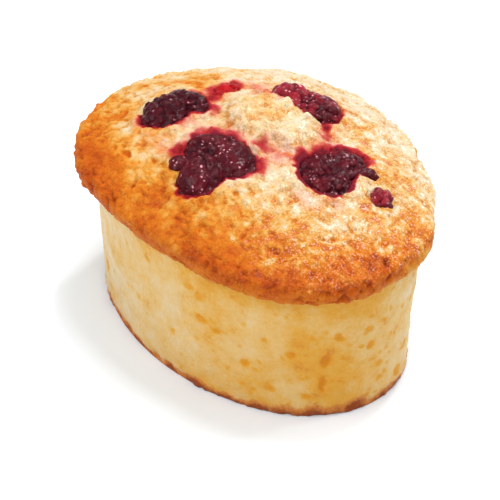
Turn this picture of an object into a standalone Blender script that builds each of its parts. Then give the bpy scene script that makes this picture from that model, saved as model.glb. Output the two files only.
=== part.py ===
"""A berry friand: an oval almond sponge with a browned crust that overhangs it, and berries baked into its top.

The frame has its origin at the centre of the flat underside, +X along the oval and +Z up. Lengths are metres.
"""

import math
import random
from collections import namedtuple

import bmesh
import bpy
from mathutils import Matrix, Vector, noise

# The sponge takes the shape of its oval tin: half length and half width at the foot and under the crust.
FOOT = (0.0386, 0.0264)
SHOULDER = (0.0403, 0.0271)
SHOULDER_Z = 0.0320

# The crust spreads past the sponge to its rim, and domes above it.
RIM = (0.0427, 0.0313)
RIM_Z = 0.0360
RIM_SHIFT = (-0.0003, 0.0016)
RIM_WOBBLE = ((2, -0.022, 0.003), (3, 0.018, -0.037), (4, -0.006, 0.004), (5, -0.006, 0.009))
DOME_RISE = 0.0068
DOME_POWER = 2.3

# Its edge is rounded: a quarter oval, NOSE_IN by NOSE_UP, over the rim, and another, LIP_IN by LIP_DOWN, under
# it. The round starts and ends at these angles above the level.
NOSE_IN = 0.0020
NOSE_UP = 0.0019
LIP_IN = 0.0015
LIP_DOWN = 0.0036
NOSE_FROM = math.radians(55)
NOSE_TO = math.radians(-75)
EDGE_Z = RIM_Z + NOSE_UP * math.sin(NOSE_FROM)

# The foot is a thin crisp edge that stands a little proud of the wall.
EDGE_HEIGHT = 0.0014
EDGE_TOP = 0.0007
EDGE_FLARE = 0.0003
EDGE_ROUND = 0.0008

# Relief: crags in the crust, softer unevenness in the sponge, and the height range over which one gives way to
# the other.
CRAG_SIZE = 0.0052
CRAG_HEIGHT = 0.0010
CRAG_SMOOTHNESS = 0.9
CRAG_LACUNARITY = 2.0
CRAG_OCTAVES = 2
SPONGE_LUMP_SIZE = 0.0080
SPONGE_LUMP_HEIGHT = 0.0003
CRUST_FROM = SHOULDER_Z - 0.0005
CRUST_WHOLE = SHOULDER_Z + 0.0025
TOP_FROM = RIM_Z + NOSE_UP
TOP_WHOLE = TOP_FROM + 0.0020

# Batter that rose round each berry, in a broken collar.
COLLAR_RISE = 0.0013
COLLAR_AWAY = 0.0013
COLLAR_WIDTH = 0.0014
COLLAR_BREAKS = 0.0040

# Batter that rose in a mound between the berries. The mound's edge is steep, and these are the distances from
# its middle, as shares of MOUND_HALF, where the edge ends and starts.
MOUND_PLACE = (-0.0045, 0.0085)
MOUND_HALF = (0.0125, 0.0078)
MOUND_RISE = 0.0021
MOUND_FOOT = 1.12
MOUND_BROW = 0.78

# Mesh density of the cake.
CRUST_CELLS = 39
NOSE_RINGS = 4
WALL_RINGS = 5
EDGE_RINGS = 2

# A berry sits in a socket with this gap all round.
GAP = 0.0006

# Beads are drupelets, no larger than a share of their lobe. They are left out low on a berry and deep inside its
# other lobes, where they can't show.
LOBE_SUBDIVISIONS = 2
BEAD_SUBDIVISIONS = 1
GOLDEN_ANGLE = math.pi * (3 - math.sqrt(5))
BEAD_SPACING = 1.75
BEAD_CROWDING = 1.15
BEAD_DISORDER = 0.07
BEAD_SIZES = (0.82, 1.15)
BEAD_LARGEST = 0.7
BEAD_LOWEST = 0.12
BEAD_BURIED = 0.80
CREASE_DEPTH = 0.25
SLOPE_STEP = 0.0020

# A berry is a few lobes that run into each other. place: middle, from above. half: half length, half width and
# half height. heading: where the length points, in degrees from +X. sunk: depth of a berry's middle under the
# smooth crust. bead: radius of one bead.
Lobe = namedtuple("Lobe", "place half heading")
Berry = namedtuple("Berry", "name place sunk lobes bead seed colour")
DARK_RED = (0.115, 0.012, 0.020)
BRIGHT_RED = (0.420, 0.018, 0.022)
BERRIES = (
    Berry(
        "berry_front_left",
        (-0.0024, -0.0093),
        0.0022,
        (
            Lobe((-0.0032, -0.0069), (0.0096, 0.0062, 0.0051), 8),
            Lobe((-0.0014, -0.0124), (0.0067, 0.0053, 0.0049), -85),
            Lobe((-0.0080, -0.0137), (0.0025, 0.0023, 0.0032), 40),
        ),
        0.00220,
        3,
        DARK_RED,
    ),
    Berry(
        "berry_back_left",
        (-0.0222, -0.0030),
        0.0022,
        (
            Lobe((-0.0226, -0.0046), (0.0069, 0.0063, 0.0051), -80),
            Lobe((-0.0222, 0.0004), (0.0070, 0.0037, 0.0046), 5),
        ),
        0.00200,
        5,
        DARK_RED,
    ),
    Berry(
        "berry_back_right",
        (-0.0056, 0.0199),
        0.0022,
        (
            Lobe((-0.0020, 0.0200), (0.0066, 0.0056, 0.0047), -20),
            Lobe((-0.0092, 0.0198), (0.0055, 0.0050, 0.0047), 160),
        ),
        0.00205,
        8,
        DARK_RED,
    ),
    Berry(
        "berry_front_right",
        (0.0160, 0.0066),
        0.0028,
        (
            Lobe((0.0158, 0.0046), (0.0073, 0.0060, 0.0046), 10),
            Lobe((0.0160, 0.0094), (0.0056, 0.0054, 0.0044), 80),
            Lobe((0.0204, 0.0120), (0.0027, 0.0016, 0.0038), 30),
        ),
        0.00220,
        13,
        DARK_RED,
    ),
    Berry(
        "berry_fragment",
        (0.0278, 0.0094),
        0.0006,
        (
            Lobe((0.0270, 0.0104), (0.0017, 0.0015, 0.0019), 0),
            Lobe((0.0286, 0.0086), (0.0018, 0.0016, 0.0019), 0),
        ),
        0.00150,
        21,
        DARK_RED,
    ),
    Berry(
        "berry_sliver",
        (-0.0200, 0.0094),
        0.0010,
        (
            Lobe((-0.0200, 0.0103), (0.0038, 0.0025, 0.0018), -74),
            Lobe((-0.0193, 0.0076), (0.0020, 0.0013, 0.0016), -75),
        ),
        0.00130,
        34,
        BRIGHT_RED,
    ),
)


def clear_scene():
    for obj in list(bpy.data.objects):
        bpy.data.objects.remove(obj, do_unlink=True)


def collection(name):
    made = bpy.data.collections.new(name)
    bpy.context.scene.collection.children.link(made)
    return made


def material(name, colour, roughness):
    made = bpy.data.materials.new(name)
    made.use_nodes = True
    shader = made.node_tree.nodes["Principled BSDF"]
    shader.inputs["Base Color"].default_value = (*colour, 1.0)
    shader.inputs["Roughness"].default_value = roughness
    shader.inputs["Metallic"].default_value = 0.0
    return made


def smoothstep(low, high, value):
    share = min(max((value - low) / (high - low), 0.0), 1.0)
    return share * share * (3 - 2 * share)


def mix(low, high, share):
    return low + (high - low) * share


def wobble(angle):
    """How far the crust's rim strays from a true oval, as a share of its radius."""
    return 1 + sum(c * math.cos(k * angle) + s * math.sin(k * angle) for k, c, s in RIM_WOBBLE)


def rim_point(u, v, inset, z):
    """The point of the crust at this height, inset from its rim, towards (u, v) on the unit circle."""
    reach = wobble(math.atan2(v, u))
    x = RIM_SHIFT[0] + (RIM[0] * reach - inset) * u
    y = RIM_SHIFT[1] + (RIM[1] * reach - inset) * v
    return Vector((x, y, z))


def dome_point(u, v):
    """The crust's smooth top over the unit disc."""
    radius = math.hypot(u, v)
    inset = NOSE_IN * (1 - math.cos(NOSE_FROM))
    z = EDGE_Z + DOME_RISE * (1 - radius**DOME_POWER)
    if radius < 1e-6:
        return Vector((*RIM_SHIFT, z))
    edge = rim_point(u / radius, v / radius, inset, z)
    return Vector((*RIM_SHIFT, z)).lerp(edge, radius)


def nose_point(u, v, share):
    """The rounded edge of the crust, from the end of the dome to the underside."""
    turn = mix(NOSE_FROM, NOSE_TO, share)
    inward, upward = (NOSE_IN, NOSE_UP) if turn > 0 else (LIP_IN, LIP_DOWN)
    return rim_point(u, v, inward * (1 - math.cos(turn)), RIM_Z + upward * math.sin(turn))


def wall_point(u, v, share):
    """The sponge's side, from under the crust down to the crisp edge at the foot."""
    half_length = mix(SHOULDER[0], FOOT[0], share)
    half_width = mix(SHOULDER[1], FOOT[1], share)
    return Vector((half_length * u, half_width * v, mix(SHOULDER_Z, EDGE_HEIGHT, share)))


def edge_point(u, v, share):
    """The crisp edge: a little flare, rounded in under to the flat underside."""
    turn = share * math.pi / 2
    out = EDGE_FLARE - EDGE_ROUND * (1 - math.cos(turn))
    z = EDGE_TOP * (1 - math.sin(turn))
    return Vector(((FOOT[0] + out) * u, (FOOT[1] + out) * v, z))


def cake_point(u, v, ring):
    """A point of the smooth cake. Ring 0 is the dome over the whole disc, and later rings go down the side."""
    if ring == 0:
        return dome_point(u, v)
    if ring <= NOSE_RINGS:
        return nose_point(u, v, ring / NOSE_RINGS)
    ring -= NOSE_RINGS
    if ring <= WALL_RINGS:
        return wall_point(u, v, (ring - 1) / (WALL_RINGS - 1))
    return edge_point(u, v, (ring - WALL_RINGS - 1) / (EDGE_RINGS - 1))


def dome_height(x, y):
    """Height of the smooth dome over a place near its middle."""
    u, v = (x - RIM_SHIFT[0]) / RIM[0], (y - RIM_SHIFT[1]) / RIM[1]
    reach = wobble(math.atan2(v, u))
    return dome_point(u / reach, v / reach).z


def outside_berry(berry, point):
    """How far a place is outside the berry's outline as seen from above, less than 0 inside."""
    apart = []
    for lobe in berry.lobes:
        turn = math.radians(lobe.heading)
        x, y = point.x - lobe.place[0], point.y - lobe.place[1]
        along = (x * math.cos(turn) + y * math.sin(turn)) / lobe.half[0]
        across = (y * math.cos(turn) - x * math.sin(turn)) / lobe.half[1]
        apart.append((math.hypot(along, across) - 1) * math.sqrt(lobe.half[0] * lobe.half[1]))
    return min(apart)


def collar(point):
    """How far the batter round the berries stands up."""
    away = min(outside_berry(berry, point) for berry in BERRIES)
    broken = 0.5 + noise.noise(point / COLLAR_BREAKS, noise_basis="PERLIN_ORIGINAL")
    return COLLAR_RISE * broken * math.exp(-(((away - COLLAR_AWAY) / COLLAR_WIDTH) ** 2))


def mound(point):
    """How far the batter between the berries stands up."""
    x = (point.x - MOUND_PLACE[0]) / MOUND_HALF[0]
    y = (point.y - MOUND_PLACE[1]) / MOUND_HALF[1]
    return MOUND_RISE * smoothstep(MOUND_FOOT, MOUND_BROW, math.hypot(x, y))


def relief(point):
    """How far the real surface stands out of the smooth one."""
    crust = smoothstep(CRUST_FROM, CRUST_WHOLE, point.z)
    top = smoothstep(TOP_FROM, TOP_WHOLE, point.z)
    crag = noise.fractal(
        point / CRAG_SIZE,
        CRAG_SMOOTHNESS,
        CRAG_LACUNARITY,
        CRAG_OCTAVES,
        noise_basis="PERLIN_ORIGINAL",
    )
    lump = noise.noise(point / SPONGE_LUMP_SIZE, noise_basis="PERLIN_ORIGINAL")
    on_crust = CRAG_HEIGHT * crag + top * (collar(point) + mound(point))
    return mix(SPONGE_LUMP_HEIGHT * lump, on_crust, crust)


def disc_grid(mesh, cells):
    """A square grid, pulled on to the unit disc, so that its cells stay much alike."""
    bmesh.ops.create_grid(mesh, x_segments=cells, y_segments=cells, size=1.0)
    for vert in mesh.verts:
        x, y = vert.co.x, vert.co.y
        vert.co = (x * math.sqrt(1 - y * y / 2), y * math.sqrt(1 - x * x / 2), 0.0)


def extrude_rings(mesh, count):
    """Rings of faces below the disc's rim, one unit apart, and a face across the last."""
    rim = [edge for edge in mesh.edges if edge.is_boundary]
    for _ in range(count):
        made = bmesh.ops.extrude_edge_only(mesh, edges=rim)["geom"]
        moved = [item for item in made if isinstance(item, bmesh.types.BMVert)]
        bmesh.ops.translate(mesh, verts=moved, vec=(0, 0, -1))
        rim = [item for item in made if isinstance(item, bmesh.types.BMEdge) and item.is_boundary]
    bmesh.ops.contextual_create(mesh, geom=rim)


def build_cake(parts):
    """Crust and sponge are one baked piece."""
    mesh = bmesh.new()
    disc_grid(mesh, CRUST_CELLS)
    extrude_rings(mesh, NOSE_RINGS + WALL_RINGS + EDGE_RINGS)
    for vert in mesh.verts:
        u, v, depth = vert.co
        vert.co = cake_point(u, v, round(-depth))
    bmesh.ops.recalc_face_normals(mesh, faces=mesh.faces)
    mesh.normal_update()
    moves = {vert: vert.normal * relief(vert.co) for vert in mesh.verts if vert.co.z > EDGE_HEIGHT / 2}
    for vert, move in moves.items():
        vert.co += move
    bmesh.ops.triangulate(mesh, faces=mesh.faces)
    data = bpy.data.meshes.new("cake")
    mesh.to_mesh(data)
    mesh.free()
    cake = bpy.data.objects.new("cake", data)
    cake.data.materials.append(material("baked_sponge", (0.72, 0.36, 0.10), 0.6))
    parts.objects.link(cake)
    return cake


def lobe_matrix(berry, lobe):
    """Puts a lobe's own frame in the cake: +X along the lobe, level with the crust under its berry."""
    x, y = berry.place
    slope_x = (dome_height(x + SLOPE_STEP, y) - dome_height(x - SLOPE_STEP, y)) / (2 * SLOPE_STEP)
    slope_y = (dome_height(x, y + SLOPE_STEP) - dome_height(x, y - SLOPE_STEP)) / (2 * SLOPE_STEP)
    lean = Vector((0, 0, 1)).rotation_difference(Vector((-slope_x, -slope_y, 1)))
    centre = Matrix.Translation((x, y, dome_height(x, y) - berry.sunk))
    offset = Matrix.Translation((lobe.place[0] - x, lobe.place[1] - y, 0))
    turn = Matrix.Rotation(math.radians(lobe.heading), 4, "Z")
    return centre @ lean.to_matrix().to_4x4() @ offset @ turn


def lobe_point(lobe, direction, grow):
    """Where a lobe, grown outwards by a length, ends in a direction, in its own frame."""
    return Vector([(half + grow) * share for half, share in zip(lobe.half, direction)])


def ball(name, radius, subdivisions, target):
    mesh = bmesh.new()
    bmesh.ops.create_icosphere(mesh, subdivisions=subdivisions, radius=radius)
    data = bpy.data.meshes.new(name)
    mesh.to_mesh(data)
    mesh.free()
    made = bpy.data.objects.new(name, data)
    target.objects.link(made)
    return made


def lobe_body(berry, lobe, name, grow, target):
    """A lobe's smooth body, in the cake's frame."""
    body = ball(name, 1.0, LOBE_SUBDIVISIONS, target)
    placed = lobe_matrix(berry, lobe)
    for vert in body.data.vertices:
        vert.co = placed @ lobe_point(lobe, vert.co, grow)
    return body


def spread_directions(count, draw):
    """Directions spread evenly over a ball, with a little disorder."""
    for index in range(count):
        height = 1 - 2 * (index + 0.5) / count
        turn = index * GOLDEN_ANGLE
        flat = math.sqrt(1 - height * height)
        direction = Vector((flat * math.cos(turn), flat * math.sin(turn), height))
        direction += Vector([draw.uniform(-BEAD_DISORDER, BEAD_DISORDER) for _ in range(3)])
        yield direction.normalized()


def is_buried(berry, lobe, place):
    """Whether a place is deep inside another lobe of the berry."""
    for other in berry.lobes:
        local = lobe_matrix(berry, other).inverted() @ place
        share = Vector([length / half for length, half in zip(local, other.half)])
        if other is not lobe and share.length < BEAD_BURIED:
            return True
    return False


def bead_places(berry, lobe, draw):
    """(place, radius) of the beads that show on a lobe."""
    mean_radius = (math.sqrt(lobe.half[0] * lobe.half[1]) + lobe.half[2]) / 2
    area = 4 * math.pi * mean_radius**2
    count = int(BEAD_CROWDING * area / (berry.bead * BEAD_SPACING) ** 2)
    placed = lobe_matrix(berry, lobe)
    for direction in spread_directions(count, draw):
        radius = min(berry.bead * draw.uniform(*BEAD_SIZES), BEAD_LARGEST * min(lobe.half))
        place = placed @ lobe_point(lobe, direction, -radius)
        if direction.z > BEAD_LOWEST and not is_buried(berry, lobe, place):
            yield place, radius


def apply_modifiers(obj):
    graph = bpy.context.evaluated_depsgraph_get()
    data = bpy.data.meshes.new_from_object(obj.evaluated_get(graph))
    obj.modifiers.clear()
    obj.data = data


def fuse(target, pieces):
    """One union joins the pieces to the target, and is applied."""
    union = target.modifiers.new("fused", "BOOLEAN")
    union.operation = "UNION"
    union.operand_type = "COLLECTION"
    union.collection = pieces
    union.solver = "EXACT"
    apply_modifiers(target)
    for obj in list(pieces.objects):
        bpy.data.objects.remove(obj, do_unlink=True)
    bpy.data.collections.remove(pieces)


def build_berry(berry, parts):
    draw = random.Random(berry.seed)
    crease = -CREASE_DEPTH * berry.bead
    first, *others = berry.lobes
    body = lobe_body(berry, first, berry.name, crease, parts)
    pieces = collection(berry.name + "_pieces")
    for lobe in others:
        lobe_body(berry, lobe, "lobe", crease, pieces)
    for lobe in berry.lobes:
        for place, radius in bead_places(berry, lobe, draw):
            ball("bead", radius, BEAD_SUBDIVISIONS, pieces).location = place
    fuse(body, pieces)
    body.data.materials.clear()
    body.data.materials.append(material(berry.name, berry.colour, 0.25))
    return body


def cut_sockets(cake, cutters):
    """The hollow that each berry bakes into."""
    for berry in BERRIES:
        for lobe in berry.lobes:
            socket = lobe_body(berry, lobe, berry.name + "_socket", GAP, cutters)
            socket.hide_render = True
            socket.display_type = "WIRE"
    cut = cake.modifiers.new("sockets", "BOOLEAN")
    cut.operation = "DIFFERENCE"
    cut.operand_type = "COLLECTION"
    cut.collection = cutters
    cut.solver = "EXACT"


def main():
    clear_scene()
    parts = collection("friand")
    cutters = collection("friand_cutters")
    cake = build_cake(parts)
    cut_sockets(cake, cutters)
    for berry in BERRIES:
        build_berry(berry, parts)


main()
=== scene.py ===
"""The looks of a berry friand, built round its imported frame: browned crust, open sponge and baked berries.

Lengths are in metres unless a name says otherwise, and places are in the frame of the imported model.
"""

import math
import random
from collections import namedtuple

import bmesh
import bpy
import numpy as np
from mathutils import Matrix, Vector, noise


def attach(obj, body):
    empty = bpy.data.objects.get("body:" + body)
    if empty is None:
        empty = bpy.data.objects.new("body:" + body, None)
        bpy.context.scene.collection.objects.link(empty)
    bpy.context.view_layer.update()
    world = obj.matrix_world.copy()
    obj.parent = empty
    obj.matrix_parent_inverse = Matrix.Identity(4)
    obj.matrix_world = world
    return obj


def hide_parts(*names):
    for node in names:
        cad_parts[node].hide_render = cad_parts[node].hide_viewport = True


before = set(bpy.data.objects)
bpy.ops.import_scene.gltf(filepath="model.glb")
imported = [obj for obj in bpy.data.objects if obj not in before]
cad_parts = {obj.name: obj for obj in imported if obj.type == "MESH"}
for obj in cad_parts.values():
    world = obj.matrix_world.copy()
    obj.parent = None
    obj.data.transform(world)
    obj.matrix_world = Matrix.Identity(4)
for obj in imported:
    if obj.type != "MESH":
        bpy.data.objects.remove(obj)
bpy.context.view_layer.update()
MM = 0.001

# ----------------------------------------------------------------------------------------------------------
# The friand's form, with the main dimensions of its solids. The berries are a little larger here, and their
# edges lie up to two millimetres from those of their solids.

FOOT = (0.0386, 0.0264)
SHOULDER = (0.0403, 0.0271)
SHOULDER_Z = 0.0320
RIM = (0.0427, 0.0313)
RIM_Z = 0.0360
RIM_SHIFT = (-0.0003, 0.0016)
RIM_WOBBLE = ((2, -0.022, 0.003), (3, 0.018, -0.037), (4, -0.006, 0.004), (5, -0.006, 0.009))
NOSE_IN = 0.0020
NOSE_UP = 0.0019
LIP_IN = 0.0015
LIP_DOWN = 0.0036
NOSE_FROM = math.radians(55)
NOSE_TO = math.radians(-80)
DOME_RISE = 0.0068
DOME_POWER = 2.3
EDGE_Z = RIM_Z + NOSE_UP * math.sin(NOSE_FROM)

# Batter that rose between the berries.
MOUND_PLACE = (-0.0045, 0.0085)
MOUND_HALF = (0.0125, 0.0078)
MOUND_RISE = 0.0021

# A berry is a few lobes that run into each other. place: middle, from above. half: half length, half width
# and half height. heading: where the length points, in degrees from +X. sunk: depth of a berry's middle under
# the smooth crust. drupelet: radius of one bead. slump: how far its beads have run together. hollow: depth of
# a dent in its top. bright: how red it is.
Lobe = namedtuple("Lobe", "place half heading")
Berry = namedtuple("Berry", "name place sunk lobes drupelet slump hollow bright seed")
BERRIES = (
    Berry(
        "berry_front_left",
        (-0.0019, -0.0098),
        0.0022,
        (
            Lobe((-0.0022, -0.0072), (0.0091, 0.0061, 0.0051), 8),
            Lobe((-0.0008, -0.0128), (0.0066, 0.0052, 0.0049), -85),
            Lobe((-0.0073, -0.0140), (0.0027, 0.0025, 0.0034), 40),
        ),
        0.00095,
        0.98,
        0.0,
        0.25,
        3,
    ),
    Berry(
        "berry_back_left",
        (-0.0218, -0.0030),
        0.0022,
        (
            Lobe((-0.0222, -0.0042), (0.0064, 0.0058, 0.0051), -80),
            Lobe((-0.0216, 0.0005), (0.0069, 0.0037, 0.0046), 5),
        ),
        0.00100,
        0.72,
        0.0,
        0.05,
        5,
    ),
    Berry(
        "berry_back_right",
        (-0.0056, 0.0194),
        0.0022,
        (
            Lobe((-0.0020, 0.0191), (0.0064, 0.0053, 0.0047), -20),
            Lobe((-0.0090, 0.0186), (0.0055, 0.0050, 0.0045), 160),
        ),
        0.00110,
        0.40,
        0.0,
        0.85,
        8,
    ),
    Berry(
        "berry_front_right",
        (0.0160, 0.0066),
        0.0028,
        (
            Lobe((0.0152, 0.0049), (0.0072, 0.0060, 0.0047), 10),
            Lobe((0.0156, 0.0095), (0.0059, 0.0056, 0.0046), 80),
            Lobe((0.0204, 0.0120), (0.0028, 0.0017, 0.0038), 30),
        ),
        0.00110,
        0.55,
        0.0022,
        0.30,
        13,
    ),
    Berry(
        "berry_fragment",
        (0.0278, 0.0094),
        0.0002,
        (
            Lobe((0.0273, 0.0099), (0.0025, 0.0017, 0.0019), 48),
            Lobe((0.0283, 0.0089), (0.0022, 0.0017, 0.0019), 40),
        ),
        0.00110,
        0.0,
        0.0,
        0.74,
        21,
    ),
    Berry(
        "berry_sliver",
        (-0.0200, 0.0094),
        0.0010,
        (
            Lobe((-0.0200, 0.0103), (0.0038, 0.0025, 0.0018), -74),
            Lobe((-0.0193, 0.0076), (0.0020, 0.0013, 0.0016), -75),
        ),
        0.00095,
        0.5,
        0.0,
        0.34,
        34,
    ),
)

# Patches of the crust. x and y: place in mm. reach: in mm. strength: a share. BROWNED baked darker than the
# crust round them, or paler where it is below 0. JUICES widen the red edge of the berry that they lie beside,
# and BLUSHES tint the crust farther off.
Spot = namedtuple("Spot", "x y reach strength")
BROWNED = (
    Spot(-28.2, 9.8, 4.3, 0.26),
    Spot(-36.6, 1.6, 3.0, 0.10),
    Spot(-29.0, -22.0, 2.6, 0.16),
    Spot(2.0, -27.4, 2.4, 0.12),
    Spot(24.2, 16.7, 3.0, 0.28),
    Spot(35.6, 11.0, 4.5, 0.07),
    Spot(38.5, -4.0, 4.0, 0.14),
    Spot(34.8, -9.9, 2.5, 0.16),
    Spot(12.5, -12.5, 4.0, 0.20),
    Spot(21.0, -8.6, 3.6, 0.22),
    Spot(16.3, -16.8, 3.4, 0.06),
    Spot(33.0, -18.0, 3.0, 0.08),
    Spot(-19.5, -22.8, 3.0, 0.14),
    Spot(-9.5, -28.1, 3.0, -0.06),
    Spot(10.0, 24.8, 2.5, 0.16),
    Spot(6.0, 1.6, 3.0, -0.12),
    Spot(-3.0, 8.0, 2.4, 0.14),
    Spot(0.0, 12.0, 2.0, 0.12),
    Spot(26.6, -12.7, 2.6, -0.14),
    Spot(31.5, 1.6, 2.6, -0.12),
    Spot(17.2, -4.1, 2.2, -0.16),
    Spot(7.4, 18.9, 2.2, -0.24),
    Spot(-12.3, 11.4, 2.6, -0.18),
    Spot(-2.0, -23.0, 2.8, -0.16),
    Spot(-12.0, -16.8, 3.0, -0.08),
    Spot(-24.0, -12.2, 4.0, -0.20),
    Spot(-29.6, -14.2, 2.4, -0.10),
    Spot(-31.0, -4.4, 3.6, -0.24),
    Spot(-20.0, 16.2, 3.4, -0.14),
)
JUICES = (
    Spot(-12.5, -5.5, 3.0, 0.70),
    Spot(-9.0, -1.2, 3.2, 1.00),
    Spot(-4.0, 0.0, 3.0, 0.60),
    Spot(6.2, -3.4, 3.2, 1.15),
    Spot(-9.4, -11.4, 2.0, 0.60),
    Spot(0.5, -19.6, 2.5, 0.30),
    Spot(-24.0, -11.4, 2.2, 0.50),
    Spot(-15.4, 1.0, 3.0, 0.90),
    Spot(-15.2, -5.0, 2.0, 0.35),
    Spot(-20.7, 6.0, 4.0, 1.00),
    Spot(-20.0, 13.5, 2.2, 0.70),
    Spot(-10.0, 15.0, 2.6, 0.80),
    Spot(2.6, 24.4, 2.2, 0.40),
    Spot(9.0, 11.0, 3.0, 0.90),
    Spot(12.8, 15.0, 3.0, 0.90),
    Spot(17.0, 15.4, 2.4, 0.90),
    Spot(8.4, 4.4, 2.4, 0.40),
    Spot(27.6, 7.0, 2.0, 0.30),
)
BLUSHES = (
    Spot(-17.5, 15.5, 3.0, 0.34),
    Spot(-13.2, 13.6, 2.4, 0.30),
    Spot(-7.0, 14.0, 1.5, 0.55),
    Spot(-8.9, 16.1, 1.3, 1.10),
    Spot(-11.8, 14.6, 1.2, 0.90),
    Spot(4.7, 15.9, 1.3, 1.20),
    Spot(-18.7, 5.0, 1.6, 0.90),
    Spot(-10.3, -12.4, 1.4, 1.20),
    Spot(1.4, 0.2, 2.0, 0.80),
    Spot(-20.0, 8.0, 3.0, 0.45),
    Spot(7.4, 13.4, 2.2, 0.50),
    Spot(5.6, 1.0, 3.2, 0.32),
    Spot(8.6, 2.6, 2.4, 0.24),
    Spot(19.5, -3.4, 2.4, 0.20),
    Spot(23.6, 1.0, 2.4, 0.24),
    Spot(-12.5, -12.5, 3.0, 0.22),
    Spot(-18.0, -13.0, 2.6, 0.20),
)


def smoothstep(low, high, value):
    share = np.clip((value - low) / (high - low), 0.0, 1.0)
    return share * share * (3 - 2 * share)


def wobble(angle):
    return 1 + sum(c * np.cos(k * angle) + s * np.sin(k * angle) for k, c, s in RIM_WOBBLE)


def disc_place(x, y):
    """(radius, angle) of a place, as a share of the way from the crust's middle to its rim."""
    u, v = (x - RIM_SHIFT[0]) / RIM[0], (y - RIM_SHIFT[1]) / RIM[1]
    angle = np.arctan2(v, u)
    return np.hypot(u, v) / wobble(angle), angle


def dome_height(x, y):
    radius, _ = disc_place(x, y)
    return EDGE_Z + DOME_RISE * (1 - np.minimum(radius, 1.0) ** DOME_POWER)


def rim_points(u, v, inset, z):
    reach = wobble(np.arctan2(v, u))
    x = RIM_SHIFT[0] + (RIM[0] * reach - inset) * u
    y = RIM_SHIFT[1] + (RIM[1] * reach - inset) * v
    return np.stack([x, y, np.broadcast_to(z, x.shape)], axis=-1)


# ----------------------------------------------------------------------------------------------------------
# Noise fields over arrays of points.

# Brings the noise, which seldom passes 0.6 either way, to about -1 to 1.
NOISE_SCALE = 1.6


def shifted(points, size, seed):
    return (points / size + np.array([seed * 7.31, seed * 3.17, seed * 5.73])).tolist()


def bumps(points, size, seed):
    """Smooth noise, about -1 to 1, with bumps about this size."""
    found = [noise.noise(p, noise_basis="PERLIN_ORIGINAL") for p in shifted(points, size, seed)]
    return NOISE_SCALE * np.array(found)


def warped(points, size, reach, seed):
    """The points, pushed about by noise, so that what is laid out from them isn't even."""
    return points + reach * np.stack([bumps(points, size, seed + part) for part in range(3)], axis=-1)


def grains(points, size, seed):
    """(dome, tone): rounded grains with sharp creases between them, and a value of 0 to 1 for each."""
    found = [noise.voronoi(p, distance_metric="DISTANCE") for p in shifted(points, size, seed)]
    near = np.array([distances[0] for distances, _ in found])
    middle = np.array([places[0] for _, places in found])
    tone = np.abs(np.sin(middle @ np.array([12.9898, 78.233, 37.719])) * 437.585) % 1.0
    return np.sqrt(np.clip(1 - (near / 0.85) ** 2, 0, 1)), tone


# ----------------------------------------------------------------------------------------------------------
# Meshes.


def disc_mesh(cells_across, ring_count):
    """(mesh, u, v, ring): a square grid pulled on to the unit disc, rings below it, and a face across the
    last."""
    mesh = bmesh.new()
    bmesh.ops.create_grid(mesh, x_segments=cells_across, y_segments=cells_across, size=1.0)
    rim = [edge for edge in mesh.edges if edge.is_boundary]
    for _ in range(ring_count):
        made = bmesh.ops.extrude_edge_only(mesh, edges=rim)["geom"]
        moved = [item for item in made if isinstance(item, bmesh.types.BMVert)]
        bmesh.ops.translate(mesh, verts=moved, vec=(0, 0, -1))
        rim = [item for item in made if isinstance(item, bmesh.types.BMEdge) and item.is_boundary]
    bmesh.ops.contextual_create(mesh, geom=rim)
    data = bpy.data.meshes.new("disc")
    mesh.to_mesh(data)
    mesh.free()
    x, y, depth = coordinates(data).T
    return data, x * np.sqrt(1 - y * y / 2), y * np.sqrt(1 - x * x / 2), np.round(-depth).astype(int)


def coordinates(data):
    flat = np.empty(len(data.vertices) * 3)
    data.vertices.foreach_get("co", flat)
    return flat.reshape(-1, 3)


def set_coordinates(data, points):
    data.vertices.foreach_set("co", np.ascontiguousarray(points, dtype=np.float32).ravel())
    data.update()


def normals(data):
    flat = np.empty(len(data.vertices) * 3)
    data.vertex_normals.foreach_get("vector", flat)
    return flat.reshape(-1, 3)


def face_outwards(data):
    mesh = bmesh.new()
    mesh.from_mesh(data)
    bmesh.ops.recalc_face_normals(mesh, faces=mesh.faces)
    mesh.to_mesh(data)
    mesh.free()


def attribute(data, name, values):
    made = data.attributes.new(name, "FLOAT", "POINT")
    made.data.foreach_set("value", np.ascontiguousarray(values, dtype=np.float32))


def piece(name, data, nodes, material):
    """A finished piece that stands for these nodes of the frame."""
    data.name = name
    made = bpy.data.objects.new(name, data)
    bpy.context.scene.collection.objects.link(made)
    data.polygons.foreach_set("use_smooth", [True] * len(data.polygons))
    data.materials.clear()
    data.materials.append(material)
    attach(made, "root")
    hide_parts(*nodes)
    return made


# ----------------------------------------------------------------------------------------------------------
# A berry's form, shared by the berry and by the crust that it sits in. The crust opens towards OPEN_HEADING,
# by OPEN_GAP, round a berry that is sunk deeper than OPEN_SUNK.

SLOPE_STEP = 0.002
OPEN_HEADING = math.radians(-48)
OPEN_GAP = 0.0011
OPEN_SUNK = 0.0015


def berry_matrix(berry):
    """Puts a berry's own frame in the cake, level with the crust under it."""
    x, y = berry.place
    slope_x = (dome_height(x + SLOPE_STEP, y) - dome_height(x - SLOPE_STEP, y)) / (2 * SLOPE_STEP)
    slope_y = (dome_height(x, y + SLOPE_STEP) - dome_height(x, y - SLOPE_STEP)) / (2 * SLOPE_STEP)
    lean = Vector((0, 0, 1)).rotation_difference(Vector((-slope_x, -slope_y, 1)))
    centre = Matrix.Translation((x, y, dome_height(x, y) - berry.sunk))
    return np.array(centre @ lean.to_matrix().to_4x4())


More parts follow.
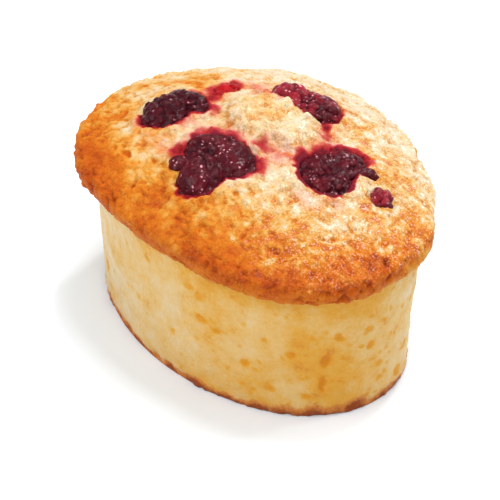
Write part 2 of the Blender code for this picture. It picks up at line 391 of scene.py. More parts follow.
def to_lobe(berry, lobe, vectors, grow, is_place):
    """Places or directions in a berry's frame, as shares of a lobe's own half lengths."""
    turn = math.radians(lobe.heading)
    offset = np.array([lobe.place[0] - berry.place[0], lobe.place[1] - berry.place[1], 0.0])
    local = vectors - offset if is_place else vectors
    along = local[:, 0] * math.cos(turn) + local[:, 1] * math.sin(turn)
    across = local[:, 1] * math.cos(turn) - local[:, 0] * math.sin(turn)
    half = [length + grow for length in lobe.half]
    return np.stack([along / half[0], across / half[1], local[:, 2] / half[2]], axis=-1)


def lobe_exit(berry, lobe, direction, grow):
    """How far from the berry's middle a lobe ends, in each direction, and 0 where it isn't met."""
    start = to_lobe(berry, lobe, np.zeros((1, 3)), grow, True)
    step = to_lobe(berry, lobe, direction, grow, False)
    a = (step * step).sum(axis=1)
    b = (step * start).sum(axis=1)
    c = (start * start).sum() - 1
    inside = b * b - a * c
    return np.where(inside > 0, (np.sqrt(np.clip(inside, 0, None)) - b) / a, 0.0)


def from_lobe(berry, lobe, shares, grow):
    """Places in a berry's frame, from shares of a lobe's own half lengths."""
    turn = math.radians(lobe.heading)
    along, across, up = (shares[:, part] * (lobe.half[part] + grow) for part in range(3))
    x = along * math.cos(turn) - across * math.sin(turn) + lobe.place[0] - berry.place[0]
    y = along * math.sin(turn) + across * math.cos(turn) + lobe.place[1] - berry.place[1]
    return np.stack([x, y, up], axis=-1)


def outside_berry(berry, points):
    """How far places are outside the berry's outline as seen from above, less than 0 inside. The crust stops
    short of a whole berry on its open side, so the outline is pushed out there."""
    placed = berry_matrix(berry)
    local = (points - placed[:3, 3]) @ placed[:3, :3]
    apart = []
    for lobe in berry.lobes:
        share = to_lobe(berry, lobe, local, 0.0, True)
        apart.append((np.hypot(share[:, 0], share[:, 1]) - 1) * math.sqrt(lobe.half[0] * lobe.half[1]))
    towards = local[:, :2] @ np.array([math.cos(OPEN_HEADING), math.sin(OPEN_HEADING)])
    facing = np.clip(towards / np.maximum(np.hypot(local[:, 0], local[:, 1]), 1e-6), 0, 1)
    return np.min(apart, axis=0) - OPEN_GAP * facing * (berry.sunk > OPEN_SUNK)


# ----------------------------------------------------------------------------------------------------------
# The crust.

CRUST_CELLS = 246
NOSE_RINGS = 24
TUCK_RINGS = 2
TUCK_IN = 0.0020
TUCK_UP = 0.0004
GLAZE_HEADING = math.radians(40)

# Heights of its relief. Curds, crumbs and grit are grains of falling size.
SWELL_HEIGHT = 0.45 * MM
CRUMB_HEIGHT = 0.68 * MM
GRIT_HEIGHT = 0.48 * MM
PIT_DEPTH = 0.45 * MM

# The batter that rose round a berry: its height, and how far from the berry it is highest and fades.
COLLAR_RISE = 0.0012
COLLAR_AWAY = 0.0006
COLLAR_WIDTH = 0.0011

# The opening round a berry: how deep the crust dips, where the dip starts and ends, and how much juice and
# torn edges move it.
OPENING_DEPTH = 0.0026
OPENING_FROM = -0.0009
OPENING_TO = -0.0024
JUICE_GAP = 0.0009
TORN_REACH = 0.0008


def crust_base(u, v, ring):
    """The smooth crust: the dome, its rounded nose, and an underside tucked into the sponge."""
    points = np.zeros((len(u), 3))
    top = ring == 0
    radius = np.maximum(np.hypot(u, v), 1e-9)
    inset = NOSE_IN * (1 - math.cos(NOSE_FROM))
    edge = rim_points(u / radius, v / radius, inset, 0.0)
    points[:, 0] = RIM_SHIFT[0] + (edge[:, 0] - RIM_SHIFT[0]) * radius
    points[:, 1] = RIM_SHIFT[1] + (edge[:, 1] - RIM_SHIFT[1]) * radius
    points[:, 2] = EDGE_Z + DOME_RISE * (1 - np.minimum(radius, 1) ** DOME_POWER)
    share = np.clip(ring / NOSE_RINGS, 0, 1)
    turn = NOSE_FROM + (NOSE_TO - NOSE_FROM) * share
    inward = np.where(turn > 0, NOSE_IN, LIP_IN) * (1 - np.cos(turn))
    upward = np.where(turn > 0, NOSE_UP, LIP_DOWN) * np.sin(turn)
    tuck = np.clip(ring - NOSE_RINGS, 0, None) / TUCK_RINGS
    nose = rim_points(u, v, inward + tuck * TUCK_IN, RIM_Z + upward + tuck * TUCK_UP)
    return np.where(top[:, None], points, nose)


def mound_share(points):
    """1 on the risen middle, falling off steeply to 0 at its torn edge."""
    x = (points[:, 0] - MOUND_PLACE[0]) / MOUND_HALF[0]
    y = (points[:, 1] - MOUND_PLACE[1]) / MOUND_HALF[1]
    away = np.sqrt(x * x + y * y) + 0.10 * bumps(points, 0.0040, 41)
    return smoothstep(1.16, 0.70, away)


def crust_relief(points, mound, brown):
    """(height, crease, pit): how far the real surface stands out, how deep a place lies between its grains,
    and where a bubble has burst. The crust's material paints shade into both the creases and the pits."""
    swell = SWELL_HEIGHT * bumps(points, 0.012, 1)
    loose = warped(points, 0.0030, 0.0009, 5)
    curds, _ = grains(loose, 0.0042, 2)
    crumbs, crumb_tone = grains(loose, 0.0023, 3)
    grit, grit_tone = grains(warped(points, 0.0012, 0.0004, 8), 0.0012, 4)
    holes, hole_tone = grains(loose, 0.0026, 6)
    pit = smoothstep(0.86, 0.99, holes) * (hole_tone > 0.90) * (1 - mound)
    radius, _ = disc_place(points[:, 0], points[:, 1])
    rough = (1 - 0.20 * smoothstep(0.35, 0.7, brown)) * (0.9 + 0.4 * bumps(points, 0.009, 9))
    rough *= 1 + 0.7 * smoothstep(0.88, 0.99, radius)
    torn = (0.12 + 0.30 * smoothstep(0.85, 0.45, radius) + 0.25 * mound) * MM
    ridges = 0.55 - np.abs(bumps(loose, 0.0030, 14)) - 0.5 * np.abs(bumps(loose, 0.0015, 15))
    curd_height = (0.30 + 0.50 * mound) * MM
    crumb_height = CRUMB_HEIGHT * (0.2 + 1.2 * crumb_tone) * rough
    grit_height = GRIT_HEIGHT * (0.2 + 1.2 * grit_tone) * rough
    height = swell + curd_height * (curds - 0.7) + crumb_height * (crumbs - 0.6) + grit_height * (grit - 0.6)
    height += torn * ridges
    # The valley round the risen middle counts as a crease too, so that painted shade falls in it.
    crease = 1 - (0.32 * curds + 0.40 * crumbs + 0.28 * grit) + 0.6 * mound * (1 - mound)
    return height - PIT_DEPTH * pit, crease, pit


def build_crust():
    data, u, v, ring = disc_mesh(CRUST_CELLS, NOSE_RINGS + TUCK_RINGS)
    base = crust_base(u, v, ring)
    set_coordinates(data, base)
    face_outwards(data)
    on_top = ring == 0
    shown = 1 - smoothstep(NOSE_RINGS - 1, NOSE_RINGS + 1, ring)
    mound = mound_share(base) * on_top
    brown = browning(base)
    height, crease, pit = crust_relief(base, mound, brown)
    points = base + normals(data) * (height * shown)[:, None]
    points[:, 2] += MOUND_RISE * mound
    apart = np.min([outside_berry(berry, base) for berry in BERRIES], axis=0)
    torn = 0.5 + 0.5 * bumps(base, 0.0024, 43)
    points[:, 2] += COLLAR_RISE * torn * np.exp(-((apart - COLLAR_AWAY) / COLLAR_WIDTH) ** 2) * on_top
    edge = apart - JUICE_GAP * spots(base, JUICES) + TORN_REACH * torn
    points[:, 2] -= OPENING_DEPTH * smoothstep(OPENING_FROM, OPENING_TO, edge) * on_top
    set_coordinates(data, points)
    attribute(data, "crease", crease)
    attribute(data, "pit", pit)
    attribute(data, "brown", brown)
    attribute(data, "stain", staining(base, apart))
    attribute(data, "mound", mound)
    attribute(data, "gloss", wetness(base))
    return piece("crust", data, ["cake"], crust_material())


def wetness(points):
    """How much of the crust has a sugary glaze: most on the right and the back, none under the lip. The same
    share places the painted glints and glare in the crust's colour.
    """
    rightwards = points[:, 0] * math.cos(GLAZE_HEADING) + points[:, 1] * math.sin(GLAZE_HEADING)
    share = 0.14 + 0.86 * smoothstep(-0.014, 0.022, rightwards)
    return share * smoothstep(RIM_Z - 0.0004, RIM_Z + 0.0012, points[:, 2])


def browning(points):
    """0 where the crust stayed pale to 1 where it is deep brown. The top towards the back is also made paler,
    as painted glare.
    """
    radius, angle = disc_place(points[:, 0], points[:, 1])
    degrees = np.degrees(angle)
    toward = np.exp(-(((degrees + 75) / 85) ** 2))
    left = np.exp(-(((degrees + 126) / 26) ** 2))
    front = np.exp(-(((degrees + 34) / 34) ** 2))
    away = np.exp(-(((degrees - 93) / 60) ** 2))
    edge = smoothstep(0.46, 0.98, radius)
    rim = smoothstep(0.80, 0.97, radius)
    side = edge * (0.42 * toward + 0.22 * left + 0.14 * front)
    side += rim * (0.04 * toward + 0.24 * left + 0.24 * front)
    outer = smoothstep(RIM_Z + 0.0014, RIM_Z - 0.0010, points[:, 2])
    # pale: the top towards the back is painted paler for glare, and the outer nose at the back is browner.
    pale = away * (0.20 * smoothstep(0.60, 0.90, radius) * (1 - outer) - 0.16 * outer)
    under = smoothstep(RIM_Z - 0.0010, RIM_Z - 0.0034, points[:, 2])
    patches = 0.10 * bumps(points, 0.008, 11) + spots(warped(points, 0.0040, 0.0012, 12), BROWNED)
    middle = 0.11 * smoothstep(0.66, 0.38, radius)
    return np.clip((0.27 + 0.74 * side - pale - middle + patches) * (1 - 0.08 * under), 0, 1)


def spots(points, table):
    """A table's spots, added up at each place."""
    found = np.zeros(len(points))
    for spot in table:
        away = np.hypot(points[:, 0] - spot.x * MM, points[:, 1] - spot.y * MM) / (spot.reach * MM)
        found += spot.strength * np.exp(-(away**2))
    return found


def staining(points, apart):
    """0 on clean crust to 1 where berry juice has soaked right in, and more down where the berry sits."""
    loose = warped(points, 0.0026, 0.0006, 45)
    width = 0.00010 + 0.00190 * spots(loose, JUICES) * (1 + 0.6 * bumps(points, 0.0030, 46))
    inner = apart + 0.0008 - 0.0006 * spots(loose, JUICES) + 0.0005 * bumps(points, 0.0014, 47)
    halo = np.exp(-np.clip(inner, 0, None) / np.maximum(width, 0.0001))
    soaked = np.maximum(halo, spots(loose, BLUSHES) * (1 + 0.5 * bumps(points, 0.0020, 48)))
    return soaked + 0.9 * smoothstep(0.0002, -0.0006, inner)


# ----------------------------------------------------------------------------------------------------------
# The sponge.

SPONGE_CELLS = 156
WALL_RINGS = 98
SPONGE_TOP = SHOULDER_Z + 0.0008
UNDER_ROUND = 0.0003
WALL_SWELL = 0.28 * MM
PORE_DEPTH = 0.00025

# The foot: the height of its browned band, how ragged it is, how far it stands out in front, and how far it
# is drawn in on the left.
FOOT_BAND = 0.0028
FOOT_RAGGED = 0.26 * MM
FOOT_SKIRT = 0.20 * MM
FOOT_TUCK = 0.40 * MM

# Open bubbles that show in the photo: place along the wall in degrees round the oval, height, half width,
# half height, all but the first in mm.
Pore = namedtuple("Pore", "angle up wide tall")
PORES = (
    Pore(-77, 26.8, 1.3, 0.9),
    Pore(-73, 25.4, 1.0, 0.8),
    Pore(-72, 19.8, 1.7, 1.0),
    Pore(-67, 18.3, 0.9, 0.9),
    Pore(-57, 12.3, 1.0, 1.1),
    Pore(-50, 19.9, 0.8, 0.8),
    Pore(-41, 17.0, 1.0, 1.0),
    Pore(-28, 15.4, 1.2, 1.8),
    Pore(-29, 8.9, 0.9, 2.6),
    Pore(-23, 21.9, 1.1, 1.2),
    Pore(-8, 17.6, 1.0, 1.4),
    Pore(-94, 27.0, 1.0, 0.8),
    Pore(-84, 12.0, 0.8, 0.8),
    Pore(-100, 14.0, 0.8, 0.7),
    Pore(-35, 5.5, 1.2, 0.8),
    Pore(-48, 6.5, 0.9, 0.8),
)


def sponge_base(u, v, ring):
    """The smooth sponge: a flat underside, a small round to the foot, and the tapered wall."""
    share = np.clip((ring - 2) / (WALL_RINGS - 2), 0, 1)
    half_x = FOOT[0] + (SHOULDER[0] - FOOT[0]) * share
    half_y = FOOT[1] + (SHOULDER[1] - FOOT[1]) * share
    under = 0.0002 * (ring == 0) + 0.00005 * (ring == 1)
    z = np.where(ring == 0, 0.0, UNDER_ROUND + (SPONGE_TOP - UNDER_ROUND) * share)
    return np.stack([(half_x - under) * u, (half_y - under) * v, z], axis=-1)


def all_pores():
    """The bubbles that show in the photo, and others like them over the rest of the wall."""
    draw = random.Random(31)
    yield from PORES
    for _ in range(60):
        angle = draw.uniform(0, 250) - 10
        size = draw.uniform(0.6, 1.3)
        yield Pore(angle, draw.uniform(3, 29), size * draw.uniform(0.8, 1.5), size * draw.uniform(0.7, 1.3))
    for _ in range(260):
        size = draw.uniform(0.30, 0.55)
        yield Pore(draw.uniform(-180, 180), draw.uniform(2, 31), size * draw.uniform(0.9, 1.3), size)


def opened(points):
    """0 on the closed wall to 1 in the middle of a bubble."""
    deep = np.zeros(len(points))
    for pore in all_pores():
        turn = math.radians(pore.angle)
        centre = np.array([SHOULDER[0] * math.cos(turn), SHOULDER[1] * math.sin(turn), pore.up * MM])
        tangent = np.array([-SHOULDER[0] * math.sin(turn), SHOULDER[1] * math.cos(turn), 0.0])
        tangent /= np.linalg.norm(tangent)
        near = np.abs(points - centre).max(axis=1) < 4 * max(pore.wide, pore.tall) * MM
        local = points[near] - centre
        away = ((local @ tangent) / (pore.wide * MM)) ** 2 + (local[:, 2] / (pore.tall * MM)) ** 2
        opening = 0.4 * np.exp(-away) + 0.6 * smoothstep(1.25, 0.45, away)
        deep[near] = np.maximum(deep[near], min(1.0, 0.1 + 0.8 * pore.tall) * opening)
    return deep


def build_sponge():
    data, u, v, ring = disc_mesh(SPONGE_CELLS, WALL_RINGS)
    base = sponge_base(u, v, ring)
    set_coordinates(data, base)
    face_outwards(data)
    outward = normals(data)
    wall = smoothstep(0, 3, ring)
    swell = WALL_SWELL * bumps(base, 0.011, 21)
    crumb = 0.14 * MM * bumps(base, 0.0032, 22) + 0.07 * MM * bumps(base, 0.0011, 23)
    pore = opened(warped(base, 0.0016, 0.0003, 24))
    degrees = np.degrees(np.arctan2(base[:, 1] / SHOULDER[1], base[:, 0] / SHOULDER[0]))
    band = FOOT_BAND + 0.0022 * np.exp(-(((degrees + 17) / 20) ** 2))
    band += 0.0016 * np.exp(-(((degrees + 37) / 10) ** 2))
    foot = smoothstep(0.0, 1.0, 1 - (base[:, 2] + 0.0009 * bumps(base, 0.004, 28)) / band)
    skirt = FOOT_SKIRT * smoothstep(-79, -76, degrees) * smoothstep(-10, -55, degrees)
    skirt -= FOOT_TUCK * smoothstep(-79, -82, degrees) * smoothstep(-128, -108, degrees)
    ragged = FOOT_RAGGED * (0.2 + bumps(base, 0.0016, 27) + 0.6 * bumps(base, 0.0008, 30)) * foot
    ragged += skirt * foot
    height = (swell + crumb - PORE_DEPTH * pore + ragged) * wall
    set_coordinates(data, base + outward * height[:, None])
    attribute(data, "pore", pore)
    attribute(data, "foot", foot)
    attribute(data, "toast", toasting(base))
    return piece("sponge", data, ["cake"], sponge_material())


def toasting(points):
    """0 on pale sponge to 1 on deep yellow, mostly under the crust and towards the front right."""
    degrees = np.degrees(np.arctan2(points[:, 1] / SHOULDER[1], points[:, 0] / SHOULDER[0]))
    front = np.exp(-(((degrees + 19) / 21) ** 2)) + 0.55 * np.exp(-(((degrees + 58) / 24) ** 2))
    low = 0.8 + 0.2 * smoothstep(0.026, 0.014, points[:, 2])
    high = smoothstep(0.025, 0.033, points[:, 2]) * (1 - 0.6 * smoothstep(-14, 6, degrees))
    toast = 0.12 - 0.07 * smoothstep(-96, -116, degrees) + 0.46 * front * low + 0.34 * high
    return np.clip(toast + 0.16 * bumps(points, 0.009, 29), 0, 1)


# ----------------------------------------------------------------------------------------------------------
# The berries.

BERRY_SUBDIVISIONS = 7
BEAD_SPACING = 1.75
BEAD_CROWDING = 1.1
BEAD_DISORDER = 0.10
GOLDEN_ANGLE = math.pi * (3 - math.sqrt(5))


def drupelets(berry):
    """(places, sizes): the beads all over a berry, evenly spread with some disorder."""
    draw = random.Random(berry.seed)
    places, sizes = [], []
    for lobe in berry.lobes:
        area = 4 * math.pi * ((lobe.half[0] * lobe.half[1]) ** 0.5 + lobe.half[2]) ** 2 / 4
        count = max(6, int(BEAD_CROWDING * area / (berry.drupelet * BEAD_SPACING) ** 2))
        height = 1 - 2 * (np.arange(count) + 0.5) / count
        turn = np.arange(count) * GOLDEN_ANGLE
        flat = np.sqrt(1 - height * height)
        spread = np.stack([flat * np.cos(turn), flat * np.sin(turn), height], axis=-1)
        spread += [[draw.uniform(-1, 1) * BEAD_DISORDER for _ in range(3)] for _ in range(count)]
        spread /= np.linalg.norm(spread, axis=1)[:, None]
        places.append(from_lobe(berry, lobe, spread, -berry.drupelet * 0.7))
        sizes.extend(berry.drupelet * draw.uniform(0.75, 1.2) for _ in range(count))
    return np.concatenate(places), np.array(sizes)


def berry_form(berry, direction):
    """(reach, crown, bead): the berry's surface in each direction from its middle, how far a place stands
    out of the creases between beads, and which bead it is on."""
    core = np.max([lobe_exit(berry, lobe, direction, -berry.drupelet * 0.6) for lobe in berry.lobes], axis=0)
    skin = np.max([lobe_exit(berry, lobe, direction, berry.drupelet * 0.05) for lobe in berry.lobes], axis=0)
    places, sizes = drupelets(berry)
    along = direction @ places.T
    inside = sizes**2 - (places * places).sum(axis=1) + along**2
    exits = np.where(inside > 0, along + np.sqrt(np.clip(inside, 0, None)), 0.0)
    bead = np.argmax(exits, axis=1)
    beaded = np.maximum(exits.max(axis=1), core)
    melted = np.clip(berry.slump * (0.75 + 0.9 * bumps(direction, 0.8, berry.seed)), 0, 1)
    reach = beaded + (skin - beaded) * melted
    aside = np.hypot(direction[:, 0], direction[:, 1] + 0.25) * (direction[:, 2] > 0) + (direction[:, 2] <= 0)
    reach -= berry.hollow * np.exp(-((aside / 0.55) ** 2))
    crown = 1 - (1 - np.clip((beaded - core) / berry.drupelet, 0, 1)) * (1 - 0.7 * melted)
    return reach, crown, bead


def build_berry(berry, material):
    mesh = bmesh.new()
    bmesh.ops.create_icosphere(mesh, subdivisions=BERRY_SUBDIVISIONS, radius=1.0)
    data = bpy.data.meshes.new(berry.name)
    mesh.to_mesh(data)
    mesh.free()
    direction = coordinates(data)
    direction /= np.linalg.norm(direction, axis=1)[:, None]
    reach, crown, bead = berry_form(berry, direction)
    local = direction * reach[:, None]
    sag = 0.20 * MM * bumps(local, 0.0014, berry.seed + 50)
    sag += 0.35 * MM * bumps(local, 0.0045, berry.seed + 51)
    sag += 0.08 * MM * bumps(local, 0.0007, berry.seed + 52)
    local += direction * sag[:, None]
    placed = berry_matrix(berry)
    points = local @ placed[:3, :3].T + placed[:3, 3]
    set_coordinates(data, points)
    draw = random.Random(berry.seed * 100)
    tones = np.array([draw.random() for _ in range(bead.max() + 1)])
    # Brighter towards the berry's -X end and darker towards +X, more so on the brighter berries.
    x_gradient = 0.20 * berry.bright * (0.5 - smoothstep(-0.004, 0.007, local[:, 0]))
    tone = 0.14 + (0.54 - 0.46 * berry.slump) * (tones[bead] - 0.4) + 0.62 * berry.bright + x_gradient
    attribute(data, "tone", tone)
    attribute(data, "crown", crown)
    return piece(berry.name + "_fruit", data, [berry.name], material)


# ----------------------------------------------------------------------------------------------------------
# Materials.


def srgb(red, green, blue):
    """A colour given as its 0 to 255 screen values."""
    shares = [channel / 255 for channel in (red, green, blue)]
    return tuple(s / 12.92 if s <= 0.04045 else ((s + 0.055) / 1.055) ** 2.4 for s in shares) + (1.0,)


class Look:
    """A Principled material, and short ways to add the nodes that feed it."""

    def __init__(self, name, **settings):
        self.material = bpy.data.materials.new(name)
        self.material.use_nodes = True
        self.tree = self.material.node_tree
        self.shader = self.tree.nodes["Principled BSDF"]
        self.place = self.tree.nodes.new("ShaderNodeTexCoord").outputs["Object"]
        for socket, value in settings.items():
            self.shader.inputs[socket.replace("_", " ")].default_value = value

    def link(self, output, target):
        self.tree.links.new(output, target)

    def fill(self, target, value):
        if isinstance(value, (int, float, tuple)):
            target.default_value = value
        else:
            self.link(value, target)

    def attribute(self, name):
        made = self.tree.nodes.new("ShaderNodeAttribute")
        made.attribute_name = name
        return made.outputs["Fac"]

    def noise(self, size, detail, roughness, output="Fac"):
        made = self.tree.nodes.new("ShaderNodeTexNoise")
        made.inputs["Scale"].default_value = 1 / size
        made.inputs["Detail"].default_value = detail
        made.inputs["Roughness"].default_value = roughness
        self.link(self.place, made.inputs["Vector"])
        return made.outputs[output]

    def grains(self, size, warp):
        """(distance, pick): how far a place is from the middle of its grain, and a value of 0 to 1 per grain.
        The grains are pushed out of shape by a length."""
        push = self.tree.nodes.new("ShaderNodeVectorMath")
        push.operation = "MULTIPLY_ADD"
        push.inputs[1].default_value = (2 * warp, 2 * warp, 2 * warp)
        self.link(self.noise(size, 1.0, 0.5, "Color"), push.inputs[0])
        self.link(self.place, push.inputs[2])
        made = self.tree.nodes.new("ShaderNodeTexVoronoi")
        made.inputs["Scale"].default_value = 1 / size
        self.link(push.outputs["Vector"], made.inputs["Vector"])
        split = self.tree.nodes.new("ShaderNodeSeparateColor")
        self.link(made.outputs["Color"], split.inputs["Color"])
        return made.outputs["Distance"], split.outputs["Red"]

    def maths(self, operation, *values):
        made = self.tree.nodes.new("ShaderNodeMath")
        made.operation = operation
        for target, value in zip(made.inputs, values):
            self.fill(target, value)
        return made.outputs[0]

    def total(self, *terms):
        """The sum of (value, weight) terms."""
        sum_so_far = 0.0
        for value, weight in terms:
            sum_so_far = self.maths("MULTIPLY_ADD", value, weight, sum_so_far)
        return sum_so_far

    def ramp(self, factor, *stops):
        made = self.tree.nodes.new("ShaderNodeValToRGB")
        while len(made.color_ramp.elements) < len(stops):
            made.color_ramp.elements.new(0.5)
        for element, (place, colour) in zip(made.color_ramp.elements, stops):
            element.position = place
            element.color = colour
        self.link(factor, made.inputs["Fac"])
        return made.outputs["Color"]

    def between(self, factor, low, high):
        """0 to 1 as the factor goes from low to high."""
        made = self.tree.nodes.new("ShaderNodeMapRange")
        made.interpolation_type = "SMOOTHSTEP"
        self.link(factor, made.inputs["Value"])
        made.inputs["From Min"].default_value = low
        made.inputs["From Max"].default_value = high
        return made.outputs["Result"]

    def blend(self, factor, first, second, mode="MIX"):
        made = self.tree.nodes.new("ShaderNodeMix")
        made.data_type = "RGBA"
        made.blend_type = mode
        colours = [socket for socket in made.inputs if socket.type == "RGBA"]
        self.fill(made.inputs[0], factor)
        self.fill(colours[0], first)
        self.fill(colours[1], second)
        return [socket for socket in made.outputs if socket.type == "RGBA"][0]

    def scatter(self, radius, scale):
        """How far light spreads under the skin: scale is a length, and radius its share in each colour."""
        self.shader.inputs["Subsurface Radius"].default_value = radius
        self.shader.inputs["Subsurface Scale"].default_value = scale

    def bump(self, height, distance, target="Normal"):
        made = self.tree.nodes.new("ShaderNodeBump")
        made.inputs["Distance"].default_value = distance
        made.inputs["Strength"].default_value = 1.0
        self.link(height, made.inputs["Height"])
        self.link(made.outputs["Normal"], self.shader.inputs[target])


def crust_material():
    look = Look("browned_crust", Specular_IOR_Level=0.08, Roughness=0.55, Coat_IOR=1.70, Coat_Roughness=0.08)
    mottle = look.noise(0.0042, 1.0, 0.5)
    patch = look.noise(0.0019, 1.0, 0.5)
    speckle = look.noise(0.0009, 2.0, 0.6)
    grit = look.noise(0.00040, 1.0, 0.5)
    grain, pick = look.grains(0.0009, 0.0003)
    crease = look.attribute("crease")
    brown = look.attribute("brown")
    mound = look.attribute("mound")
    gloss = look.attribute("gloss")
    # On the glossy right side the colour swings between deeper ochre and painted white glare.
    glaze_and_glare = look.maths("MULTIPLY", gloss, look.total((patch, 0.9), (mottle, 0.3), (1.0, -0.58)))
    # Creases and pits are painted a deeper orange, as painted shade in them; brown, mottle and patch are the
    # crust's own tone.
    tone = look.total(
        (brown, 0.95),
        (crease, 0.47),
        (mottle, 0.44),
        (patch, 0.28),
        (glaze_and_glare, 0.6),
        (look.attribute("pit"), 0.30),
        (mound, -0.03),
    )
    colour = look.ramp(
        look.maths("ADD", tone, -0.52),
        (0.00, srgb(208, 190, 163)),
        (0.12, srgb(208, 180, 144)),
        (0.24, srgb(206, 163, 102)),
        (0.36, srgb(200, 137, 52)),
        (0.50, srgb(194, 109, 24)),
        (0.72, srgb(182, 86, 16)),
        (1.00, srgb(156, 60, 12)),
    )
    brown_grit = look.maths("MULTIPLY", brown, look.total((grit, 0.6), (-0.3, 1.0)))
    # Painted shade in the creases, mixed with the crust's own fine grain: the colour is multiplied by this.
    shade = look.ramp(
        look.total((speckle, 0.8), (patch, 0.2), (grit, 0.6), (crease, -0.5), (brown_grit, 1.0)),
        (0.38, (0.86, 0.72, 0.56, 1)),
        (0.62, (1.0, 0.99, 0.97, 1)),
        (0.84, (1.12, 1.12, 1.14, 1)),
    )
    colour = look.blend(1.0, colour, shade, "MULTIPLY")
    yellow = look.between(look.total((mottle, 0.7), (patch, -0.5), (crease, -0.2)), -0.03, 0.10)
    yolk = look.maths("MULTIPLY", yellow, look.total((mound, 0.20), (0.25, 1.0)))
    colour = look.blend(yolk, colour, (1.0, 0.98, 0.62, 1), "MULTIPLY")
    # Painted glints: pale grains that stand for sugar catching the light, thickest on the glossy right side
    # and fewest on brown crust.
    cluster = look.between(look.total((speckle, 0.5), (patch, 0.8)), 0.52, 0.86)
    sugar_and_glint = look.between(grit, 0.52, 0.66)
    glint_strewn = look.total(
        (cluster, 0.24),
        (look.maths("MULTIPLY", cluster, gloss), 0.85),
        (look.maths("MULTIPLY", cluster, brown), -1.05),
        (0.03, 1.0),
    )
    colour = look.blend(look.maths("MULTIPLY", sugar_and_glint, glint_strewn), colour, srgb(246, 224, 194))
    # Painted glare: grainy white patches where that pattern is low, on the glossy right side and fewest on
    # brown crust.
    frost_and_glare = look.maths("MULTIPLY", look.between(glaze_and_glare, -0.02, -0.18), look.between(grit, 0.42, 0.58))
    frost_and_glare = look.maths("MULTIPLY", frost_and_glare, look.total((brown, -1.1), (0.92, 1.0)))
    colour = look.blend(frost_and_glare, colour, srgb(248, 238, 222))
    stain = look.attribute("stain")
    soaked = look.total((stain, 0.55), (mottle, 0.125), (patch, 0.125), (-0.14, 1.0))
    juice = look.ramp(
        soaked,
        (0.00, (1, 1, 1, 1)),
        (0.12, (0.97, 0.68, 0.70, 1)),
        (0.26, (0.86, 0.24, 0.28, 1)),
        (0.42, (0.72, 0.07, 0.10, 1)),
        (0.60, (0.46, 0.03, 0.06, 1)),
        (0.90, (0.16, 0.02, 0.04, 1)),
    )
    colour = look.blend(1.0, colour, juice, "MULTIPLY")
    purple = look.maths("MULTIPLY", look.between(soaked, 0.10, 0.40), 0.40)
    colour = look.blend(purple, colour, srgb(140, 16, 44))
    look.link(colour, look.shader.inputs["Base Color"])
    glaze = look.between(
        look.total((patch, 0.7), (mottle, 0.6), (brown, -0.5), (pick, 0.15), (stain, -0.35)), 0.50, 0.85
    )
    look.link(look.maths("MULTIPLY", glaze, gloss), look.shader.inputs["Coat Weight"])
    look.link(look.total((mound, 0.20), (0.35, 1.0)), look.shader.inputs["Subsurface Weight"])
    look.scatter((1.0, 0.6, 0.35), 0.0016)
    look.bump(look.total((speckle, 1.0), (grit, 0.6), (grain, -0.3)), 0.00036)
    look.bump(look.total((grain, -1.0), (speckle, 1.0), (grit, 0.4)), 0.00024, "Coat Normal")
    return look.material


def sponge_material():
    look = Look("open_sponge", Specular_IOR_Level=0.12)
    mottle = look.noise(0.0042, 2.0, 0.5)
    fine = look.noise(0.0007, 3.0, 0.6)
    toast = look.attribute("toast")
    tone = look.total(
        (look.attribute("pore"), 0.50),
        (toast, 0.75),
        (mottle, 0.60),
        (fine, 0.34),
    )
    colour = look.ramp(
        look.maths("ADD", tone, -0.42),
        (0.00, srgb(214, 188, 144)),
        (0.22, srgb(214, 176, 112)),
        (0.48, srgb(212, 156, 60)),
        (0.75, srgb(212, 142, 30)),
        (1.00, srgb(200, 122, 18)),
    )
    foot = look.total((look.attribute("foot"), 1.0), (toast, 0.35), (mottle, 1.3), (fine, 0.6))
    colour = look.blend(look.between(foot, 1.22, 1.70), colour, srgb(194, 118, 52))
    colour = look.blend(look.between(foot, 1.66, 2.06), colour, srgb(146, 68, 26))
    look.link(colour, look.shader.inputs["Base Color"])
    look.link(look.total((fine, 0.3), (mottle, 0.6)), look.shader.inputs["Roughness"])
    look.shader.inputs["Subsurface Weight"].default_value = 0.25
    look.scatter((1.0, 0.6, 0.25), 0.0009)
    look.bump(look.total((fine, 1.0), (mottle, 0.5)), 0.00036)
    return look.material


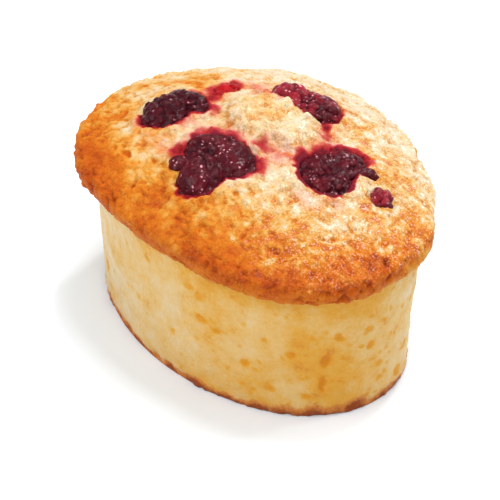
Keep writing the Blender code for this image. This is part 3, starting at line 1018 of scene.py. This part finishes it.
def berry_material(name, deep, mid, bright):
    look = Look(name, Specular_IOR_Level=0.05, Coat_Roughness=0.06)
    mottle = look.noise(0.0030, 3.0, 0.5)
    fine = look.noise(0.0007, 3.0, 0.6)
    wet = look.noise(0.0013, 1.0, 0.5)
    grain, pick = look.grains(0.0008, 0.0003)
    bead_tone = look.attribute("tone")
    tone = look.total((bead_tone, 0.85), (mottle, 0.8), (fine, 0.2))
    colour = look.ramp(look.maths("ADD", tone, -0.40), (0.05, deep), (0.50, mid), (0.95, bright))
    # Painted shade: the creases between beads are darkened towards the deep colour.
    creases = look.maths("MULTIPLY", look.between(look.attribute("crown"), 0.75, 0.15), 0.7)
    colour = look.blend(creases, colour, deep)
    # Painted glints: small pink-white spots on the beads, in clusters and most on the brighter berries.
    spark = look.between(look.total((grain, -1.0), (fine, 0.8)), 0.06, 0.26)
    painted_glint = look.maths("MULTIPLY", spark, look.between(pick, 0.52, 0.86))
    strength = look.total((bead_tone, 1.1), (look.between(mottle, 0.42, 0.60), 0.60), (-0.12, 1.0))
    colour = look.blend(look.maths("MULTIPLY", painted_glint, strength), colour, srgb(232, 160, 172))
    look.link(colour, look.shader.inputs["Base Color"])
    wettest = look.total((bead_tone, 0.5), (0.24, 1.0))
    shine = look.maths("MULTIPLY", look.between(wet, 0.46, 0.62), wettest)
    look.link(look.total((shine, 1.0), (0.04, 1.0)), look.shader.inputs["Coat Weight"])
    look.link(look.total((mottle, 0.35), (fine, 0.3)), look.shader.inputs["Roughness"])
    look.shader.inputs["Subsurface Weight"].default_value = 0.10
    look.scatter((1.0, 0.15, 0.15), 0.0008)
    look.bump(fine, 0.00020)
    look.bump(fine, 0.00016, "Coat Normal")
    return look.material


# ----------------------------------------------------------------------------------------------------------
# The stage: floor, light and camera.

CAMERA_AZIMUTH = math.radians(48.05)
CAMERA_ELEVATION = math.radians(39.42)
CAMERA_DISTANCE = 0.500
FOCAL_SHARE = 2367.4 / 500.0
SENSOR_MM = 36.0

# What the camera looks at: how far to its right, how far up its picture, and how high above the table.
CAMERA_AIM = (-0.000934, -0.002756, 0.0200)

LIGHT_AIM_Z = 0.02
WORLD_STRENGTH = 0.30
WHITE = (1.0, 1.0, 1.0, 1.0)
FLOOR_RADIUS = 1.6
FLOOR_COLOUR = (0.88, 0.94, 0.99, 1)


def camera_axes():
    sine, cosine = math.sin(CAMERA_AZIMUTH), math.cos(CAMERA_AZIMUTH)
    flat = math.cos(CAMERA_ELEVATION)
    back = Vector((sine * flat, -cosine * flat, math.sin(CAMERA_ELEVATION)))
    right = Vector((cosine, sine, 0.0))
    return right, back.cross(right), back


def build_camera():
    right, up, back = camera_axes()
    data = bpy.data.cameras.new("camera")
    data.sensor_width = SENSOR_MM
    data.lens = FOCAL_SHARE * SENSOR_MM
    data.clip_start = 0.01
    camera = bpy.data.objects.new("camera", data)
    bpy.context.scene.collection.objects.link(camera)
    place = back * CAMERA_DISTANCE + right * CAMERA_AIM[0] + up * CAMERA_AIM[1]
    place += Vector((0, 0, CAMERA_AIM[2]))
    turn = Matrix((right, up, back)).transposed().to_4x4()
    camera.matrix_world = Matrix.Translation(place) @ turn
    bpy.context.scene.camera = camera


def softbox(name, rightwards, away, elevation, distance, size, power):
    """A square light that looks at the friand. rightwards and away give its heading as the camera sees it.
    elevation is in degrees, and power in watts."""
    right, _, back = camera_axes()
    heading = right * rightwards - Vector((back.x, back.y, 0)).normalized() * away
    heading = heading.normalized() * math.cos(math.radians(elevation))
    heading.z = math.sin(math.radians(elevation))
    data = bpy.data.lights.new(name, "AREA")
    data.shape = "SQUARE"
    data.size = size
    data.energy = power
    light = bpy.data.objects.new(name, data)
    bpy.context.scene.collection.objects.link(light)
    light.location = heading * distance + Vector((0, 0, LIGHT_AIM_Z))
    light.rotation_euler = heading.to_track_quat("Z", "Y").to_euler()


def build_light():
    softbox("overhead", 0.7, 0.7, 80, 0.90, 0.18, 2.9)
    softbox("left", -1.0, -0.4, 40, 1.00, 0.90, 5.5)
    softbox("right", 1.0, 0.1, 40, 1.00, 0.90, 2.0)
    softbox("back", 0.45, 1.0, 50, 1.00, 0.90, 1.4)
    softbox("front", 0.1, -1.0, 50, 1.10, 0.80, 4.0)
    softbox("sparkle", 0.5, 0.85, 52, 0.80, 0.09, 1.6)
    softbox("side_sparkle", 1.0, 0.25, 46, 0.80, 0.09, 0.9)
    world = bpy.data.worlds.new("studio")
    world.use_nodes = True
    background = world.node_tree.nodes["Background"]
    background.inputs["Color"].default_value = WHITE
    background.inputs["Strength"].default_value = WORLD_STRENGTH
    bpy.context.scene.world = world


def build_floor():
    mesh = bmesh.new()
    bmesh.ops.create_circle(mesh, cap_ends=True, segments=96, radius=FLOOR_RADIUS)
    data = bpy.data.meshes.new("floor")
    mesh.to_mesh(data)
    mesh.free()
    floor = bpy.data.objects.new("floor", data)
    bpy.context.scene.collection.objects.link(floor)
    look = Look("white_table", Roughness=0.8, Specular_IOR_Level=0.1)
    look.shader.inputs["Base Color"].default_value = FLOOR_COLOUR
    data.materials.append(look.material)


def main():
    bpy.context.scene.view_settings.view_transform = "Standard"
    build_camera()
    build_light()
    build_floor()
    build_crust()
    build_sponge()
    dark = berry_material("berry_skin", srgb(46, 8, 18), srgb(88, 16, 28), srgb(150, 34, 46))
    bright = berry_material("berry_pulp", srgb(110, 8, 14), srgb(170, 14, 22), srgb(206, 42, 50))
    for berry in BERRIES:
        sliver = berry.name == "berry_sliver"
        build_berry(berry, bright if sliver else dark)


main()
